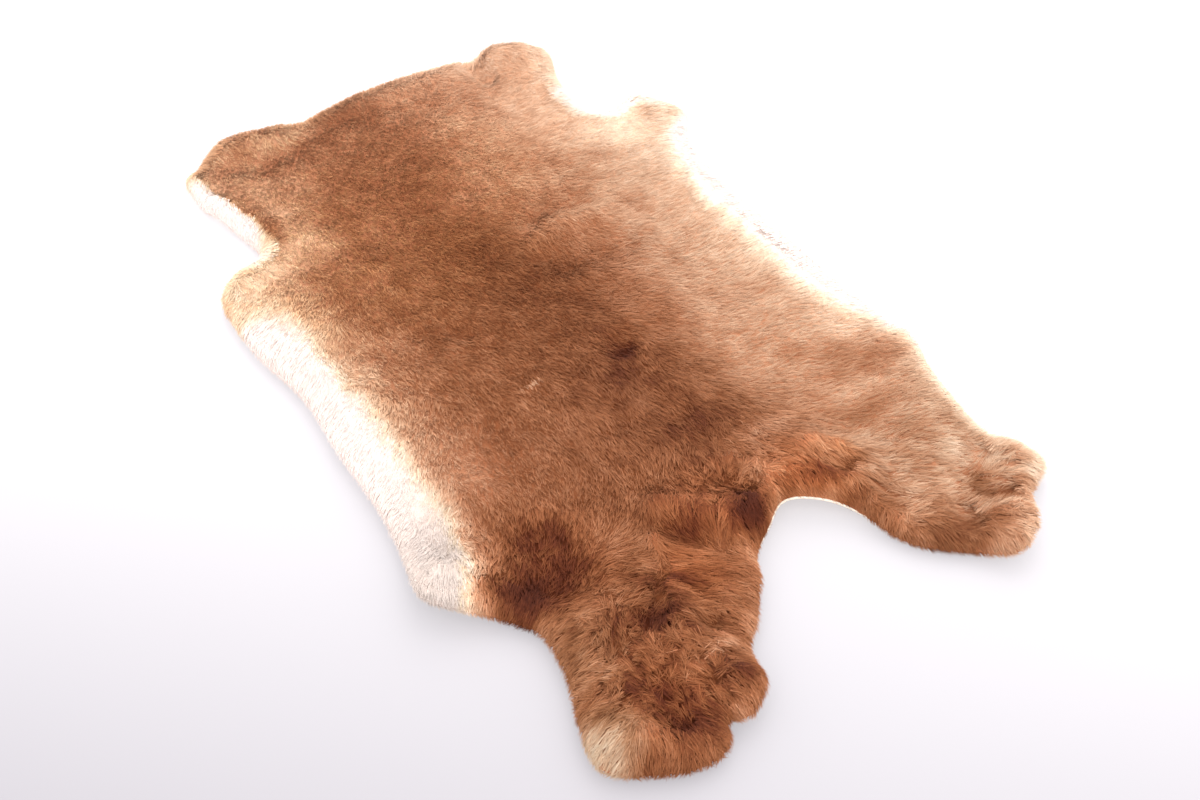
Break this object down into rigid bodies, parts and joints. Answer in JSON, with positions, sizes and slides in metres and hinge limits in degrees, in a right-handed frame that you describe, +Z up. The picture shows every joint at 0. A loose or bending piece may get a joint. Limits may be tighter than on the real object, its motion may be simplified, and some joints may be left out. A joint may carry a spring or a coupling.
{
  "type": "rabbit pelt",
  "caption": "Rex rabbit pelt laid open and flat, fur side up: short dense castor-brown pile, pale belly edges, hind legs either side of the cut at the crotch.",
  "frame": {"origin": "middle of the pelt's box, on the surface that it lies on", "axes": "+Y along the back towards the neck, +X towards the pelt's right flank, +Z up through the pile"},
  "size_m": [0.2978, 0.4492, 0.0234],
  "materials": {
    "fur": "matt, soft short pile, castor brown with cream to white belly edges",
    "skin": "matt suede, cream white"
  },
  "bodies": {
    "root": {"pelt": "fur"}
  },
  "joints": []
}
